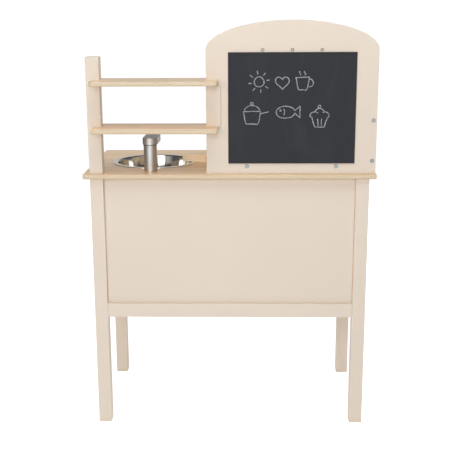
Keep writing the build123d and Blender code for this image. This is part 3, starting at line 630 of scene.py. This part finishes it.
def capsule(length, width, count=8):
    """The outline of a bar with round ends, along y."""
    r, straight = width / 2, (length - width) / 2
    upper = [(x, y + straight) for x, y in bow(0, 0, r, r, 0, 180, count)]
    return upper + [(-x, -y) for x, y in upper]


def mark_knobs():
    """A dark inlay in each knob's slot, and a ring of dots on the fascia behind the knob."""
    ink = dial_paint()
    right, up, out = Vector((1, 0, 0)), Vector((0, 0, 1)), Vector((0, -1, 0))
    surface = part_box("front_fascia")[0].y
    length, width, depth = POINTER
    for knob in (name for name in frame["nodes"] if name.endswith(("knob_1", "knob_2", "knob_3"))):
        low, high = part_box(knob)
        centre = (low + high) / 2
        inlay = Vector((centre.x, low.y + POINTER_SUNK, centre.z + POINTER_UP))
        shape = bmesh.new()
        turned_plate(shape, inlay, out, right, capsule(length, width), depth)
        piece_from(knob + "_pointer", shape, ink, BODY_OF[knob])
        dots = bmesh.new()
        for turn in range(-135, 136, 45):
            a = math.radians(90 - turn)
            around = (right * math.cos(a) + up * math.sin(a)) * DOT_RING
            size = TOP_DOT if turn == 0 else DOT
            place = Vector((centre.x, surface + DOT_SUNK, centre.z)) + around
            turned_plate(dots, place, out, right, bow(0, 0, size, size, 0, 330, 11), DOT_THICK)
        piece_from(knob + "_dial", dots, ink, "kitchen")


# ---- camera, light and floor

CAMERA_PLACE = (-0.029734, 1.942067, 0.878356)
CAMERA_YAW, CAMERA_PITCH, CAMERA_ROLL = -0.020401, 0.238275, -0.004291
CAMERA_LENS = 71.133

# Each softbox: its place, what it faces, its width and height in metres, its watts, and whether shiny
# surfaces mirror it.
SOFTBOXES = {
    "rear": ((0.4, 2.2, 1.12), (0, 0, 0.55), 2.0, 0.8, 20, True),
    "overhead": ((0, 1.3, 2.7), (0, 0, 0.6), 2.0, 1.2, 28, True),
    "front": ((-0.1, -2.4, 1.4), (0, 0, 0.5), 3.0, 1.0, 33, False),
    "left_end": ((-2.6, 0, 1.2), (0, 0, 0.5), 1.4, 1.0, 18, False),
    "right_end": ((2.6, 0, 1.2), (0, 0, 0.5), 1.4, 1.0, 18, False),
}

# Brightness of the room round the object, of its pale walls, and of the paper that the camera sees.
DIM_ROOM = 0.10
PALE_WALL = 0.65
PAPER = 1.05

FLOOR_X, FLOOR_Y = 1.2, 3.0
FLOOR_PAPER = (190, 190, 190)
FLOOR_GLOW = (0.45, 0.90)


def aim_camera():
    """The photograph's view: from behind the kitchen, a little above it, looking slightly down."""
    lens = bpy.data.cameras.new("camera")
    lens.lens = CAMERA_LENS
    camera = bpy.data.objects.new("camera", lens)
    bpy.context.scene.collection.objects.link(camera)
    camera.location = CAMERA_PLACE
    flat = Vector((-math.sin(CAMERA_YAW), -math.cos(CAMERA_YAW), 0)) * math.cos(CAMERA_PITCH)
    forward = flat - Vector((0, 0, math.sin(CAMERA_PITCH)))
    camera.rotation_mode = "QUATERNION"
    camera.rotation_quaternion = forward.to_track_quat("-Z", "Y") @ Quaternion((0, 0, 1), CAMERA_ROLL)
    bpy.context.scene.camera = camera


def softbox(name, place, target, width, height, watts, mirrored):
    """A rectangular area light. Shiny surfaces show it only if it is mirrored."""
    light = bpy.data.lights.new(name, "AREA")
    light.shape = "RECTANGLE"
    light.size, light.size_y, light.energy = width, height, watts
    thing = bpy.data.objects.new(name, light)
    bpy.context.scene.collection.objects.link(thing)
    thing.visible_glossy = mirrored
    thing.location = place
    thing.rotation_mode = "QUATERNION"
    thing.rotation_quaternion = (Vector(target) - Vector(place)).to_track_quat("-Z", "Y")


def light_room():
    """A dim room with pale walls at +Y and -Y, low down, which the camera itself sees as white paper."""
    world = bpy.data.worlds.new("studio")
    bpy.context.scene.world = world
    world.use_nodes = True
    tree = world.node_tree
    background = tree.nodes["Background"]
    background.inputs["Color"].default_value = (1.0, 1.0, 1.0, 1.0)

    def mapped(value, low, high, new_low, new_high):
        made = tree.nodes.new("ShaderNodeMapRange")
        ends = {"From Min": low, "From Max": high, "To Min": new_low, "To Max": new_high}
        for socket, end in ends.items():
            made.inputs[socket].default_value = end
        tree.links.new(value, made.inputs["Value"])
        return made.outputs[0]

    def maths(operation, a, b=None):
        """A Math node's result. b is left out where the operation takes one value."""
        made = tree.nodes.new("ShaderNodeMath")
        made.operation = operation
        tree.links.new(a, made.inputs[0])
        if b is not None:
            tree.links.new(b, made.inputs[1])
        return made.outputs[0]

    direction = tree.nodes.new("ShaderNodeTexCoord").outputs["Generated"]
    split = tree.nodes.new("ShaderNodeSeparateXYZ")
    tree.links.new(direction, split.inputs[0])
    towards_wall = mapped(maths("ABSOLUTE", split.outputs[Y]), 0.60, 0.85, 0.0, 1.0)
    low_down = mapped(split.outputs[Z], 0.45, 0.15, 0.0, 1.0)
    room = mapped(maths("MULTIPLY", towards_wall, low_down), 0.0, 1.0, DIM_ROOM, PALE_WALL)
    seen = tree.nodes.new("ShaderNodeLightPath").outputs["Is Camera Ray"]
    paper = mapped(seen, 0.0, 1.0, 0.0, PAPER)
    tree.links.new(maths("MAXIMUM", room, paper), background.inputs["Strength"])


def lay_floor():
    """A wide pale floor of white paper."""
    x, y = FLOOR_X, FLOOR_Y
    mesh = bpy.data.meshes.new("floor")
    mesh.from_pydata([(-x, -y, 0), (x, -y, 0), (x, y, 0), (-x, y, 0)], [], [(0, 1, 2, 3)])
    floor = bpy.data.objects.new("floor", mesh)
    bpy.context.scene.collection.objects.link(floor)
    f = Finish("paper", roughness=0.9)
    f.shader.inputs["Emission Color"].default_value = (1.0, 1.0, 1.0, 1.0)
    seen = f.add("LightPath").outputs["Is Camera Ray"]
    f.wire(f.shader.inputs["Emission Strength"], f.scaled(seen, *FLOOR_GLOW))
    mesh.materials.append(f.show(FLOOR_PAPER))


finish_nodes()
draw_doodles()
mark_knobs()
lay_floor()
for box_name, settings in SOFTBOXES.items():
    softbox(box_name, *settings)
light_room()
aim_camera()
bpy.context.scene.view_settings.view_transform = "Standard"
